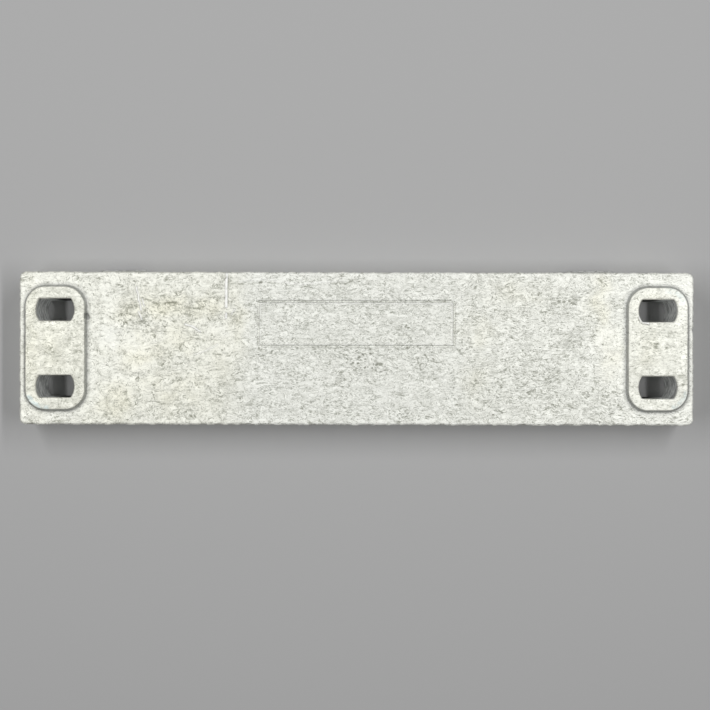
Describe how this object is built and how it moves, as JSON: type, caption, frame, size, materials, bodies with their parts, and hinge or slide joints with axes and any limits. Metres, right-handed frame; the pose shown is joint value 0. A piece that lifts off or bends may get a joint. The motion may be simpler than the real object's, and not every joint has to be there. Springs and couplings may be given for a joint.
{
  "type": "sacrificial anode",
  "caption": "Rectangular cast metal anode bar with a flat back, a raised bolting pad near each end and double-D slots right through the pads.",
  "frame": {"origin": "centre of the flat back face", "axes": "+X along the bar, +Y across it towards the side with the two gate stubs, +Z out of the face that carries the pads"},
  "size_m": [0.3006, 0.0701, 0.02],
  "materials": {
    "cast_alloy": "as cast, matte pale grey with flow marks"
  },
  "bodies": {
    "root": {"anode": "cast_alloy"}
  },
  "joints": []
}
